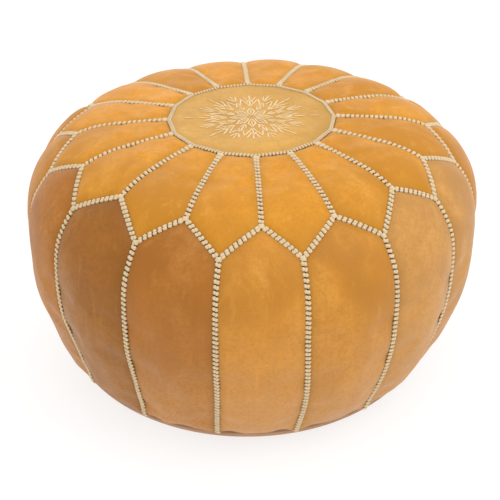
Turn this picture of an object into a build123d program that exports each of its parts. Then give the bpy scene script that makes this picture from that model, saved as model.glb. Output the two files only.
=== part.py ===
"""Round leather pouf, stitched from petals and side panels round a medallion, with a zipped base.

The cover is a shell of leather pieces whose edges turn inwards at every seam. Thick braided
stitching lies over the seams. Inside are a cotton liner bag and its stuffing. The base is a
shallow leather tray in two halves, dished in the middle so that its zip stays off the floor.

Millimetres, +Z up. The origin is the centre of the base on the floor. Seam 1 lies towards -Y.
"""

from build123d import *
from math import acos, asin, atan2, cos, degrees, hypot, radians, sin, sqrt, tan
import os

# Overall shape. A meridian is four tangent arcs: crown, shoulder, belly and heel.
overall_diameter = 540.0
overall_height = 314.0
shoulder_radius = 120.0
crown_drop = 8.0  # from the middle of the top down to the top of the shoulder's circle
heel_inset = 54.0  # how far the belly's arc would lean in by the time it met the floor
heel_radius = 40.0

# Leather pieces
panel_count = 16
leather = 1.6
turn_in = 5.0  # depth of the edges folded inwards at each seam
seam_gap = 0.3
medallion_diameter = 200.0
peak_inset = 61.0  # from the widest circle in to the tips of the side panels
valley_inset = 31.5  # from the widest circle in to the tips of the petals
hem_height = 21.0  # the side panels' lower edges stand this far off the floor

# Stitching on the seams
braid_width = 6.5
braid_height = 2.5
knot_diameter = 9.2
knot_height = 3.1
thread_gap = 0.1  # between any thread and the leather it lies on

# Embroidery on the medallion
star_margin = 23.0  # from the medallion's edge to the tips of the long rays
star_core = 9.0  # radius where the rays begin
ray_width = 1.2
ray_height = 0.5
short_ray_share = 0.7
rays = 16

# Base tray
tray_drop = 4.0  # the tray's heel is this much tighter than the cover's
tray_rim_height = 32.0
contact_ring_width = 10.5
dish_slope_run = 20.0
dish_height = 10.0

# Zip
slot_half_width = 7.0
slot_end_margin = 19.0  # from the dish's edge to the end of the slot in the leather
tape_end_margin = 5.0
chain_end_margin = 25.0
tape_thickness = 0.6
tape_half_width = 17.0
tape_gap = 0.1
tooth_pitch = 3.0
tooth_length = 1.6
tooth_reach = 3.3
tooth_thickness = 2.2
tooth_grip = 1.45  # how far a tooth closes over the tape's edge
chain_slit = 1.4  # between the two rows, for the slider's divider
fit_gap = 0.05  # between a tooth or a stop and the tape it grips
stop_length = 2.5

# Slider and its pull
slider_length = 11.0
slider_half_width = 5.0
slider_plate = 1.2
slider_flange = 0.6
slider_clearance = 0.3
divider_thickness = 0.9
divider_length = 5.0
bridge_length = 7.2
bridge_width = 2.8
bridge_bar = 1.2
pull_pin_radius = 0.8
pull_pin_clearance = 0.2
pull_arm = 1.4
pull_arm_clearance = 0.6
pull_window = 6.0  # from the pin to the end of the window that clears the bridge
pull_length = 26.0
pull_half_width = 3.5
pull_thickness = 1.2
pull_hole_radius = 1.4

# Thread that sews the zip and the base
sewing_thread = 0.8
zip_stitch_length = 3.5
zip_stitch_pitch = 5.0
zip_stitch_inset = 2.5  # from the slot's edge to the row of stitches
hem_stitch_count = 96
hem_stitch_fill = 0.55
hem_seam_height = 26.5

# Liner and stuffing
liner_gap = 0.4
liner_thickness = 0.8
stuffing_gap = 0.3
liner_over_slider = 0.8

# The meridian's arcs, worked out from the sizes above.
widest_radius = overall_diameter / 2
widest_height = overall_height - shoulder_radius - crown_drop
shoulder_centre = widest_radius - shoulder_radius
crown_radius = (shoulder_centre**2 + (shoulder_radius + crown_drop) ** 2 - shoulder_radius**2) / (
    2 * crown_drop
)
crown_centre = overall_height - crown_radius
crown_end = degrees(atan2(widest_height - crown_centre, shoulder_centre))
belly_radius = (heel_inset**2 + widest_height**2) / (2 * heel_inset)
belly_centre = widest_radius - belly_radius
heel_centre = belly_centre + sqrt(
    (belly_radius - heel_radius) ** 2 - (widest_height - heel_radius) ** 2
)
heel_start = degrees(atan2(widest_height - heel_radius, heel_centre - belly_centre))

pitch = 360 / panel_count
medallion_radius = medallion_diameter / 2
peak_radius = widest_radius - peak_inset
valley_radius = widest_radius - valley_inset
deep = turn_in + 1  # cuts into the back of a panel run this deep



def heel_top(depth):
    """The height where the heel's arc meets the belly's, at a depth under the cover's outer face."""
    return heel_radius - (heel_radius - depth) * sin(radians(heel_start))


def lower_radius(depth, height):
    """The cover's radius at a depth and a height, on the belly or the heel."""
    if height > heel_top(depth):
        return belly_centre + sqrt((belly_radius - depth) ** 2 - (widest_height - height) ** 2)
    return heel_centre + sqrt((heel_radius - depth) ** 2 - (heel_radius - height) ** 2)


# The tray's heel arc, which leaves the seam gap inside the hem.
tray_heel = heel_radius - tray_drop
tray_reach = sqrt(tray_heel**2 - (tray_heel - hem_height) ** 2)
tray_centre = lower_radius(leather, hem_height) - tray_reach - seam_gap
ring_inner = tray_centre - contact_ring_width
dish_radius = ring_inner - dish_slope_run
slope_shift = leather * tan(atan2(dish_height, dish_slope_run) / 2)

# How deep the hem's thread and the tray's rim reach under the cover's outer face.
hem_angle = -asin((tray_heel - hem_seam_height) / (tray_heel - leather))
hem_thread_reach = tray_heel - leather - thread_gap - sewing_thread
hem_thread_radius = tray_centre + hem_thread_reach * cos(hem_angle)
hem_thread_height = tray_heel + hem_thread_reach * sin(hem_angle)
hem_thread_depth = lower_radius(0, hem_thread_height) - hem_thread_radius
rim_radius = tray_centre + sqrt((tray_heel - leather) ** 2 - (tray_heel - tray_rim_height) ** 2)
rim_depth = lower_radius(0, tray_rim_height) - rim_radius
liner_depth = max(turn_in, hem_thread_depth, rim_depth) + liner_gap

# Levels through the zip, from the leather up.
tape_bottom = dish_height + leather + tape_gap
tape_top = tape_bottom + tape_thickness
tape_middle = (tape_bottom + tape_top) / 2
tooth_bottom = tape_middle - tooth_thickness / 2
tooth_top = tape_middle + tooth_thickness / 2
channel_bottom = tooth_bottom - slider_clearance
channel_top = tooth_top + slider_clearance
slider_bottom = channel_bottom - slider_plate
slider_top = channel_top + slider_plate
pin_height = slider_bottom - pull_pin_clearance - pull_pin_radius
bridge_opening = pin_height - pull_pin_radius - pull_pin_clearance
liner_dish = slider_top + liner_over_slider

tooth_start = chain_slit / 2
tooth_end = tooth_start + tooth_reach
tape_edge = tooth_end - tooth_grip
chain_half = dish_radius - chain_end_margin
slot_half = dish_radius - slot_end_margin
tape_half = dish_radius - tape_end_margin
slider_rest = chain_half - slider_length / 2
star_radius = medallion_radius - star_margin

os.makedirs("parts", exist_ok=True)


def save(name, shape):
    """Writes one node's solids to its own STEP file."""
    solids = shape.solids() if hasattr(shape, "solids") else [s for part in shape for s in part.solids()]
    export_step(Compound(children=list(solids)) if len(solids) > 1 else solids[0], f"parts/{name}.step")


def numbered(name, index):
    """A node's name with its number, counted from one."""
    return f"{name}_{index + 1:02d}"


def turned(shape, angle):
    """A copy turned about the pouf's axis."""
    return shape.rotate(Axis.Z, angle)


def at(radius, height, angle=0.0):
    """A point at a radius and height, at an angle round the pouf."""
    return Vector(radius * cos(radians(angle)), radius * sin(radians(angle)), height)


def block(x_range, y_range, z_range):
    """A plain box between two limits along each axis."""
    sizes = [high - low for low, high in (x_range, y_range, z_range)]
    centre = [(high + low) / 2 for low, high in (x_range, y_range, z_range)]
    return Pos(*centre) * Box(*sizes)


def arc(centre_r, centre_z, radius, start, end):
    """An arc in the plane of a meridian, from one angle to another."""
    points = [
        at_angle(centre_r, centre_z, radius, angle) for angle in (start, (start + end) / 2, end)
    ]
    return ThreePointArc(*points)


def at_angle(centre_r, centre_z, radius, angle):
    """A point of a meridian on a circle."""
    return Vector(centre_r + radius * cos(radians(angle)), 0, centre_z + radius * sin(radians(angle)))


def meridian(depth, from_radius=0.0, to_height=None):
    """The meridian's arcs at a depth under the leather's outer face, from the top down."""
    start = degrees(acos(from_radius / (crown_radius - depth)))
    upper = [
        arc(0, crown_centre, crown_radius - depth, start, crown_end),
        arc(shoulder_centre, widest_height, shoulder_radius - depth, crown_end, 0),
    ]
    if to_height is not None and to_height > heel_top(depth) - 0.05:
        end = -degrees(asin((widest_height - to_height) / (belly_radius - depth)))
        return [*upper, arc(belly_centre, widest_height, belly_radius - depth, 0, end)]
    end = -90.0
    if to_height is not None:
        end = -degrees(asin((heel_radius - to_height) / (heel_radius - depth)))
    return [
        *upper,
        arc(belly_centre, widest_height, belly_radius - depth, 0, -heel_start),
        arc(heel_centre, heel_radius, heel_radius - depth, -heel_start, end),
    ]


def shell_face(outer, inner):
    """The face between two chains of edges that run the same way."""
    first = Line(outer[0] @ 0, inner[0] @ 0)
    last = Line(outer[-1] @ 1, inner[-1] @ 1)
    return Face(Wire([*outer, last, *reversed(inner), first]))


def cover_sector(outer_depth, inner_depth, from_radius, to_height=None):
    """A sector of cover, a little wider than one panel, centred on angle 0."""
    face = shell_face(
        meridian(outer_depth, from_radius, to_height), meridian(inner_depth, from_radius, to_height)
    )
    sweep = 1.4 * pitch
    return turned(revolve(face, axis=Axis.Z, revolution_arc=sweep), -sweep / 2)


def kept(solid, point, normal):
    """The part of a solid on the side of a plane that its normal points to."""
    return split(solid, bisect_by=Plane(origin=point, z_dir=normal), keep=Keep.TOP)


def seam_side(angle, inset):
    """A cut beside the upright seam at an angle, keeping the side that holds angle 0."""
    away = 1 if angle > 0 else -1
    normal = Vector(away * sin(radians(angle)), -away * cos(radians(angle)), 0)
    return normal * inset, normal


def on_shoulder(radius):
    """The height of the leather's outer face at a radius on the shoulder."""
    return widest_height + sqrt(shoulder_radius**2 - (radius - shoulder_centre) ** 2)


def zigzag_side(peak_angle, valley_angle, inset, upper):
    """A cut along one zigzag seam, square to the leather, keeping the petal's side or the other."""
    peak = at(peak_radius, on_shoulder(peak_radius), peak_angle)
    valley = at(valley_radius, on_shoulder(valley_radius), valley_angle)
    centre = at(shoulder_centre, widest_height, (peak_angle + valley_angle) / 2)
    normal = (valley - peak).cross(centre - peak).normalized()
    if (normal.Z > 0) != upper:
        normal = -normal
    return peak + normal * inset, normal


def panel_cuts(is_petal, inset):
    """The cuts round a petal or a side panel that is centred on angle 0."""
    half = pitch / 2
    corners = [(half, 0), (-half, 0)] if is_petal else [(0, half), (0, -half)]
    cuts = [seam_side(angle, inset) for angle in (half, -half)]
    return cuts + [zigzag_side(peak, valley, inset, is_petal) for peak, valley in corners]


def cut_all(solid, cuts):
    """A solid after a list of cuts."""
    for point, normal in cuts:
        solid = kept(solid, point, normal)
    return solid


def make_panel(is_petal):
    """A petal or a side panel centred on angle 0, with its edges turned in at the seams."""
    inner_edge = medallion_radius + seam_gap / 2
    body = cut_all(
        cover_sector(0, turn_in, inner_edge, hem_height), panel_cuts(is_petal, seam_gap / 2)
    )
    back = cut_all(
        cover_sector(leather, deep, inner_edge + leather), panel_cuts(is_petal, seam_gap / 2 + leather)
    )
    panel = body - back
    if not is_petal:
        low_back = cover_sector(leather, deep, inner_edge + leather)
        panel -= kept(low_back, (0, 0, tray_rim_height + leather), (0, 0, -1))
    return panel


def make_medallion():
    """The round piece in the middle of the top, with its edge turned down."""
    edge = medallion_radius - seam_gap / 2
    outer = crown_arc(0, edge)
    inner = crown_arc(leather, edge - leather)
    rim_bottom = (outer @ 1).Z - turn_in
    rim = Polyline(
        outer @ 1, (edge, 0, rim_bottom), (edge - leather, 0, rim_bottom), inner @ 1
    )
    face = Face(Wire([outer, *rim.edges(), inner, Line(outer @ 0, inner @ 0)]))
    return revolve(face, axis=Axis.Z)


def crown_arc(depth, to_radius):
    """The crown's arc at a depth, from the axis out to a radius."""
    radius = crown_radius - depth
    return arc(0, crown_centre, radius, 90, degrees(acos(to_radius / radius)))


def thread_sector(height):
    """A sector of the layer that stitching of one height fills, over the whole meridian."""
    return cover_sector(-thread_gap - height, -thread_gap, medallion_radius, hem_height)


def knot_tool(radius, angle, diameter):
    """A cylinder square to the leather at a radius on the shoulder."""
    height = on_shoulder(radius)
    outward = at(radius - shoulder_centre, 0, angle) + Vector(0, 0, height - widest_height)
    place = Plane(origin=at(radius, height, angle), z_dir=outward)
    return place * Cylinder(diameter / 2, 4 * knot_height)


def make_knot(radius):
    """The knot where three seams meet, at angle 0."""
    return thread_sector(knot_height) & knot_tool(radius, 0, knot_diameter)


def clear_of_knots(braid, knots):
    """A braid cut back from the knots at its ends."""
    for radius, angle in knots:
        braid -= knot_tool(radius, angle, knot_diameter + 2 * thread_gap)
    return braid.solids().sort_by(SortBy.VOLUME)[-1]


def make_upright_braid(knot_radius, keep_top):
    """The braid over an upright seam at angle 0, above the petal's seam end or below the side's."""
    braid = thread_sector(braid_height)
    for side in (1, -1):
        braid = kept(braid, (0, side * braid_width / 2, 0), (0, -side, 0))
    split_plane = ((knot_radius, 0, 0), (-1 if keep_top else 1, 0, 0))
    if keep_top:
        start = medallion_radius + braid_width / 2 + thread_gap
        braid = cut_all(braid, [split_plane, ((start, 0, 0), (1, 0, 0))])
    else:
        level = on_shoulder(knot_radius)
        braid = kept(braid, (0, 0, level), (0, 0, -1))
    return clear_of_knots(braid, [(knot_radius, 0)])


def make_zigzag_braid(valley_angle):
    """The braid over a zigzag seam, from the peak at angle 0 to a valley beside it."""
    braid = thread_sector(braid_height)
    for upper in (True, False):
        braid = kept(braid, *zigzag_side(0, valley_angle, -braid_width / 2, upper))
    side = 1 if valley_angle > 0 else -1
    normal = Vector(side * sin(radians(valley_angle)), -side * cos(radians(valley_angle)), 0)
    braid = cut_all(braid, [((0, 0, 0), normal), ((0, 0, 0), (0, side, 0))])
    return clear_of_knots(braid, [(peak_radius, 0), (valley_radius, valley_angle)])


def make_medallion_braid():
    """The ring of braid over the medallion's seam."""
    inner_edge = medallion_radius - braid_width / 2
    outer_edge = medallion_radius + braid_width / 2
    layers = []
    for depth in (-thread_gap - braid_height, -thread_gap):
        radius = crown_radius - depth
        start, end = (degrees(acos(edge / radius)) for edge in (inner_edge, outer_edge))
        layers.append([arc(0, crown_centre, radius, start, end)])
    return revolve(shell_face(*layers), axis=Axis.Z)


def make_embroidery():
    """The star of long and short satin rays on the medallion, one solid for each ray."""
    top = crown_arc(-thread_gap - ray_height, medallion_radius)
    bottom = crown_arc(-thread_gap, medallion_radius)
    layer = revolve(shell_face([top], [bottom]), axis=Axis.Z)
    found = []
    for index in range(rays):
        reach = star_radius * (1 if index % 2 == 0 else short_ray_share)
        ray = block((star_core, reach), (-ray_width / 2, ray_width / 2), (0, 2 * overall_height))
        found.append(layer & turned(ray, index * 360 / rays))
    return found


def make_tray():
    """The base's leather tray before it is cut in halves."""
    heel_end = -degrees(asin((tray_heel - tray_rim_height) / tray_heel))
    inner_heel = tray_heel - leather
    inner_end = -degrees(asin((tray_heel - tray_rim_height) / inner_heel))
    floor = Polyline(
        (0, 0, dish_height), (dish_radius, 0, dish_height), (ring_inner, 0, 0), (tray_centre, 0, 0)
    )
    lining = Polyline(
        (0, 0, dish_height + leather),
        (dish_radius + slope_shift, 0, dish_height + leather),
        (ring_inner + slope_shift, 0, leather),
        (tray_centre, 0, leather),
    )
    outer = [*floor.edges(), arc(tray_centre, tray_heel, tray_heel, -90, heel_end)]
    inner = [*lining.edges(), arc(tray_centre, tray_heel, inner_heel, -90, inner_end)]
    return revolve(shell_face(outer, inner), axis=Axis.Z)


def make_base_half(tray, side):
    """One half of the tray, with its share of the slot for the zip."""
    half = kept(tray, (0, side * seam_gap / 2, 0), (0, side, 0))
    slot = block(
        (-slot_half, slot_half), (-slot_half_width, slot_half_width), (0, 2 * dish_height)
    )
    return half - slot


def make_tape(side):
    """One of the zip's tapes, lying on the inner face of the leather."""
    return block(
        (-tape_half, tape_half),
        sorted((side * tape_edge, side * tape_half_width)),
        (tape_bottom, tape_top),
    )


def tape_slot(side, length):
    """The room for the tape's edge inside a tooth or a stop of some length."""
    return block(
        (-length, length),
        sorted((side * (tape_edge - fit_gap), side * 2 * tooth_end)),
        (tape_bottom - fit_gap, tape_top + fit_gap),
    )


def make_teeth(side):
    """One row of teeth, each closed over the tape's edge. The rows are half a pitch apart."""
    tooth = block(
        (-tooth_length / 2, tooth_length / 2),
        sorted((side * tooth_start, side * tooth_end)),
        (tooth_bottom, tooth_top),
    ) - tape_slot(side, tooth_length)
    shift = tooth_pitch / 4 * side
    count = int((2 * chain_half - tooth_length - tooth_pitch / 2) / tooth_pitch) + 1
    start = -(count - 1) * tooth_pitch / 2 + shift
    return [Pos(start + index * tooth_pitch, 0, 0) * tooth for index in range(count)]


def stop_at(x_range, y_range):
    """A stop's block at one end of the zip, as thick as the teeth."""
    return block(x_range, y_range, (tooth_bottom, tooth_top))


def make_top_stops():
    """The two crimped stops at the closed end."""
    x_range = (chain_half + fit_gap, chain_half + fit_gap + stop_length)
    return [
        stop_at(x_range, sorted((side * tooth_start, side * tooth_end)))
        - tape_slot(side, 2 * chain_half)
        for side in (1, -1)
    ]


def make_bottom_stop():
    """The one stop across both tapes at the open end."""
    x_range = (-chain_half - fit_gap - stop_length, -chain_half - fit_gap)
    stop = stop_at(x_range, (-tooth_end, tooth_end))
    for side in (1, -1):
        stop -= tape_slot(side, 2 * chain_half)
    return stop


def make_slider():
    """The slider: two plates, their flanges, the divider between the rows and the pull's bridge."""
    length = (-slider_length / 2, slider_length / 2)
    width = (-slider_half_width, slider_half_width)
    body = block(length, width, (slider_bottom, channel_bottom))
    body += block(length, width, (channel_top, slider_top))
    for side in (1, -1):
        edge = sorted((side * (slider_half_width - slider_flange), side * slider_half_width))
        body += block(length, edge, (channel_bottom, tape_bottom - slider_clearance))
        body += block(length, edge, (tape_top + slider_clearance, channel_top))
    body += block(
        (-divider_length / 2, divider_length / 2),
        (-divider_thickness / 2, divider_thickness / 2),
        (channel_bottom, channel_top),
    )
    bridge = block(
        (-bridge_length / 2, bridge_length / 2),
        (-bridge_width / 2, bridge_width / 2),
        (bridge_opening - bridge_bar, slider_bottom),
    )
    bridge -= block(
        (-bridge_length / 2 + bridge_bar, bridge_length / 2 - bridge_bar),
        (-bridge_width, bridge_width),
        (bridge_opening, slider_bottom),
    )
    return Pos(slider_rest, 0, 0) * (body + bridge)


def make_pull():
    """The slider's pull, lying flat along the zip and held by its pin in the bridge."""
    arm_inner = bridge_width / 2 + pull_arm_clearance
    low, high = pin_height - pull_thickness / 2, pin_height + pull_thickness / 2
    tab = block(
        (-pull_length, -pull_window), (-pull_half_width, pull_half_width), (low, high)
    )
    tab = fillet(tab.edges().filter_by(Axis.Z).group_by(Axis.X)[0], 0.6 * pull_half_width)
    hole_x = -pull_length + 1.5 * pull_hole_radius + pull_thickness
    tab -= Pos(hole_x, 0, pin_height) * Cylinder(pull_hole_radius, 2 * pull_thickness)
    for side in (1, -1):
        arm = sorted((side * arm_inner, side * (arm_inner + pull_arm)))
        tab += block((-pull_window, 0), arm, (low, high))
    pin = Pos(0, 0, pin_height) * Rot(90, 0, 0) * Cylinder(
        pull_pin_radius, 2 * (arm_inner + pull_arm)
    )
    return Pos(slider_rest, 0, 0) * (tab + pin)


def make_base_stitching():
    """Rows of stitches along the zip and across the seam past its ends, under the leather."""
    level = dish_height - thread_gap
    flat = (level - sewing_thread, level)
    row = slot_half_width + zip_stitch_inset
    count = int((2 * slot_half - zip_stitch_length) / zip_stitch_pitch) + 1
    start = -(count - 1) * zip_stitch_pitch / 2
    found = []
    for side in (1, -1):
        width = (side * row - sewing_thread / 2, side * row + sewing_thread / 2)
        for index in range(count):
            middle = start + index * zip_stitch_pitch
            found.append(
                block((middle - zip_stitch_length / 2, middle + zip_stitch_length / 2), width, flat)
            )
        past_end = int((dish_radius - slot_half - zip_stitch_pitch / 2) / zip_stitch_pitch)
        for index in range(past_end):
            middle = side * (slot_half + (index + 1) * zip_stitch_pitch)
            across = (-zip_stitch_length, zip_stitch_length)
            found.append(
                block((middle - sewing_thread / 2, middle + sewing_thread / 2), across, flat)
            )
    return found


def make_hem_thread():
    """The running stitches that hold the side panels to the tray, on the inside of its rim."""
    radius = hem_thread_reach + sewing_thread / 2
    centre = at_angle(tray_centre, tray_heel, radius, degrees(hem_angle))
    profile = Plane(origin=centre, z_dir=(0, 1, 0)) * Circle(sewing_thread / 2)
    step = 360 / hem_stitch_count
    stitch = revolve(profile, axis=Axis.Z, revolution_arc=hem_stitch_fill * step)
    return [turned(stitch, index * step) for index in range(hem_stitch_count)]


def filled_outline(depth, dish):
    """The outline of what fills the cover, from the top down to the middle of the dish."""
    floor = Polyline(
        (heel_centre, 0, depth),
        (ring_inner + leather, 0, depth),
        (dish_radius + leather, 0, dish),
        (0, 0, dish),
    )
    return [*meridian(depth), *floor.edges()]


def make_filled(depth, dish):
    """A solid body of revolution that fills the cover at a depth."""
    outline = filled_outline(depth, dish)
    return revolve(Face(Wire([*outline, Line(outline[-1] @ 1, outline[0] @ 0)])), axis=Axis.Z)


def make_liner():
    """The closed cotton bag inside the cover."""
    outside = make_filled(liner_depth, liner_dish)
    return outside - make_filled(liner_depth + liner_thickness, liner_dish + liner_thickness)


def make_stuffing():
    """The stuffing, which fills the liner."""
    inside = liner_thickness + stuffing_gap
    return make_filled(liner_depth + inside, liner_dish + inside)


first_seam = -90.0
seam_angles = [first_seam + index * pitch for index in range(panel_count)]
petal_angles = [angle + pitch / 2 for angle in seam_angles]

petal = make_panel(is_petal=True)
side_panel = make_panel(is_petal=False)
for index in range(panel_count):
    save(numbered("petal", index), turned(petal, petal_angles[index]))
    save(numbered("side_panel", index), turned(side_panel, seam_angles[index]))

save("medallion", make_medallion())
save("medallion_embroidery", make_embroidery())
save("medallion_braid", make_medallion_braid())

petal_braid = make_upright_braid(peak_radius, keep_top=True)
side_braid = make_upright_braid(valley_radius, keep_top=False)
zigzag_braids = [make_zigzag_braid(angle) for angle in (pitch / 2, -pitch / 2)]
peak_knot = make_knot(peak_radius)
valley_knot = make_knot(valley_radius)
save("petal_braids", [turned(petal_braid, angle) for angle in seam_angles])
save("zigzag_braids", [turned(braid, angle) for angle in seam_angles for braid in zigzag_braids])
save("side_braids", [turned(side_braid, angle) for angle in petal_angles])
save("peak_knots", [turned(peak_knot, angle) for angle in seam_angles])
save("valley_knots", [turned(valley_knot, angle) for angle in petal_angles])

tray = make_tray()
for name, side in (("left", 1), ("right", -1)):
    save(f"base_{name}", make_base_half(tray, side))
    save(f"zip_tape_{name}", make_tape(side))
    save(f"zip_teeth_{name}", make_teeth(side))
save("base_stitching", make_base_stitching())
save("hem_thread", make_hem_thread())
save("zip_top_stops", make_top_stops())
save("zip_bottom_stop", make_bottom_stop())
save("zip_slider", make_slider())
save("zip_pull", make_pull())
save("liner_bag", make_liner())
save("stuffing", make_stuffing())

print("crown radius", round(crown_radius, 1), "belly radius", round(belly_radius, 1))
print("slider at", round(slider_rest, 3), "pin at", round(pin_height, 3))
print("travel", round(2 * slider_rest, 3))
print("hem thread depth", round(hem_thread_depth, 2), "liner depth", round(liner_depth, 2))
print("floor ring from", round(ring_inner, 2), "to", round(tray_centre, 2))
print("dish radius", round(dish_radius, 2))
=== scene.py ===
"""Round stitched leather pouf: the cover, its braided seams, its zip and its filling.

Each operator makes one piece or one group of like pieces. Lengths are metres.
"""

import math
import random

import bpy
import numpy as np
from mathutils import Matrix, Vector


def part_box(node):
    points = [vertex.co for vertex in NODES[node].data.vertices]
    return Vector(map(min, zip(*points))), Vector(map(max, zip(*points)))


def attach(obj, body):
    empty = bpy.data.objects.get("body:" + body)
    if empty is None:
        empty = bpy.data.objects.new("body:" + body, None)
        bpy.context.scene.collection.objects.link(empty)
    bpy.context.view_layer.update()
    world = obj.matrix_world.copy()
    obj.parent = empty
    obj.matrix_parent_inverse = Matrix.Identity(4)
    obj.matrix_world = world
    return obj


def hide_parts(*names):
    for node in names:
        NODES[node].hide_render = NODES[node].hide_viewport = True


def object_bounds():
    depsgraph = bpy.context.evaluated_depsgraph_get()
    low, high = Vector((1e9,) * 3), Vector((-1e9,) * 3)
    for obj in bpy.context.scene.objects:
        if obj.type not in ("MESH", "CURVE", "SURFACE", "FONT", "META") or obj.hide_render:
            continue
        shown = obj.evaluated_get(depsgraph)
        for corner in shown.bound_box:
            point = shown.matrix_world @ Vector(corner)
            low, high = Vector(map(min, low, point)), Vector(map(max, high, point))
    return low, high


bl_info = {
    "name": "Leather pouf",
    "version": (1, 0, 0),
    "blender": (4, 5, 0),
    "location": "View3D > Sidebar > Pouf",
    "description": "Makes a round stitched leather pouf piece by piece",
    "category": "Add Mesh",
}

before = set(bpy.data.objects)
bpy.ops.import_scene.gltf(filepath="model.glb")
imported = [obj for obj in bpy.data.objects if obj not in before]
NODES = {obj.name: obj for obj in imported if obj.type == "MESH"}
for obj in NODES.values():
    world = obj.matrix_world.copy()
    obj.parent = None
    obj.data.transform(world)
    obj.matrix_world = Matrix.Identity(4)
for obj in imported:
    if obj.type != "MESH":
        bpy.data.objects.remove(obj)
cad_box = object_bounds()

PANELS = 16
HALF = math.pi / PANELS
FIRST_SEAM = -math.pi / 2

# The cover's meridian, an arc at a time: centre radius, centre height, radius, start and end angle.
WIDEST = cad_box[1].x
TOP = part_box("medallion")[1].z
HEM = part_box("side_panel_01")[0].z
SHOULDER = 0.120
SHOULDER_CENTRE = WIDEST - SHOULDER
WAIST = TOP - SHOULDER - 0.008
HEEL_INSET = 0.054
CROWN = (SHOULDER_CENTRE**2 + (TOP - WAIST) ** 2 - SHOULDER**2) / (2 * (TOP - WAIST - SHOULDER))
CROWN_END = math.atan2(WAIST - TOP + CROWN, SHOULDER_CENTRE)
BELLY = (HEEL_INSET**2 + WAIST**2) / (2 * HEEL_INSET)
HEEL = 0.040
HEEL_CENTRE = WIDEST - BELLY + math.sqrt((BELLY - HEEL) ** 2 - (WAIST - HEEL) ** 2)
HEEL_START = -math.atan2(WAIST - HEEL, HEEL_CENTRE - WIDEST + BELLY)
ARCS = (
    (0.0, TOP - CROWN, CROWN, math.pi / 2, CROWN_END),
    (SHOULDER_CENTRE, WAIST, SHOULDER, CROWN_END, 0.0),
    (WIDEST - BELLY, WAIST, BELLY, 0.0, HEEL_START),
    (HEEL_CENTRE, HEEL, HEEL, HEEL_START, -math.asin((HEEL - HEM) / HEEL)),
)
MEDALLION = 0.100
SEAM_ROOM = 0.0004  # from a seam's line to the leather on either side
MEDALLION_EDGE = MEDALLION - SEAM_ROOM
FILL_HEIGHT = 0.15  # a height well inside the cover
PEAK = WIDEST - 0.061
VALLEY = WIDEST - 0.0315
TILT = 0.0055

# How far, in degrees, each tip of the zigzag seam strays from its even place, from the front seam round
STRAY = (0.0, -1.4, -0.8, -0.6, 0.4, 0.5, -0.4, 0.3, 0.7, 0.2, -0.5, -0.3, 0.4, 0.6, -0.2, -0.6)
STRAY += (0.3, 0.5, -0.3, -0.5, 0.2, 0.6, -0.4, 0.3, -0.6, 0.2, 0.5, -0.3, 0.3, 0.6, 0.5, 0.4)


def arc_length(arc):
    """How long one of the meridian's arcs is."""
    return arc[2] * abs(arc[4] - arc[3])


MERIDIAN_LENGTH = sum(arc_length(arc) for arc in ARCS)


def meridian(run):
    """Radius, height and outward normal at a distance along the meridian from the middle of the top."""
    for arc in ARCS:
        if run <= arc_length(arc) or arc is ARCS[-1]:
            angle = arc[3] - run / arc[2]
            out, up = math.cos(angle), math.sin(angle)
            return arc[0] + arc[2] * out, arc[1] + arc[2] * up, out, up
        run -= arc_length(arc)


def last_run(low, high, holds):
    """How far along the meridian a test that holds at first still holds."""
    for _ in range(40):
        middle = (low + high) / 2
        if holds(middle):
            low = middle
        else:
            high = middle
    return (low + high) / 2


def run_at_radius(radius):
    """The distance along the meridian at a radius on the crown or the shoulder."""
    return last_run(0.0, arc_length(ARCS[0]) + arc_length(ARCS[1]), lambda run: meridian(run)[0] < radius)


def on_cover(run, angle, lift=0.0):
    """A point of the cover's even shape, and the way out of the leather there."""
    radius, height, out, up = meridian(run)
    across = np.array([math.cos(angle), math.sin(angle), 0.0])
    normal = across * out + np.array([0.0, 0.0, up])
    return across * radius + np.array([0.0, 0.0, height]) + normal * lift, normal


def zigzag_run(angle):
    """Where the zigzag seam crosses the meridian at an angle measured from a side panel's tip."""
    angle = abs(angle)
    peak = on_cover(run_at_radius(PEAK), 0.0)[0]
    valley = on_cover(run_at_radius(VALLEY), HALF)[0]
    half_way = np.array([math.cos(HALF / 2), math.sin(HALF / 2), 0.0]) * SHOULDER_CENTRE
    centre = half_way + np.array([0.0, 0.0, WAIST])
    normal = np.cross(valley - peak, centre - peak)
    low, high = run_at_radius(PEAK) - 0.02, run_at_radius(VALLEY) + 0.02

    def above(run):
        return np.dot(on_cover(run, angle)[0] - peak, normal) > 0

    side = above(low)
    return last_run(low, high, lambda run: above(run) == side)


def smooth_step(low, high, value):
    """Nought below low, one above high, and smooth between."""
    share = np.clip((value - low) / (high - low), 0.0, 1.0)
    return share * share * (3 - 2 * share)


def crowned(away):
    """How much of its puff a piece has at a distance from its seams."""
    return 1 - np.exp(-((away / 0.014) ** 1.2))


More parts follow.
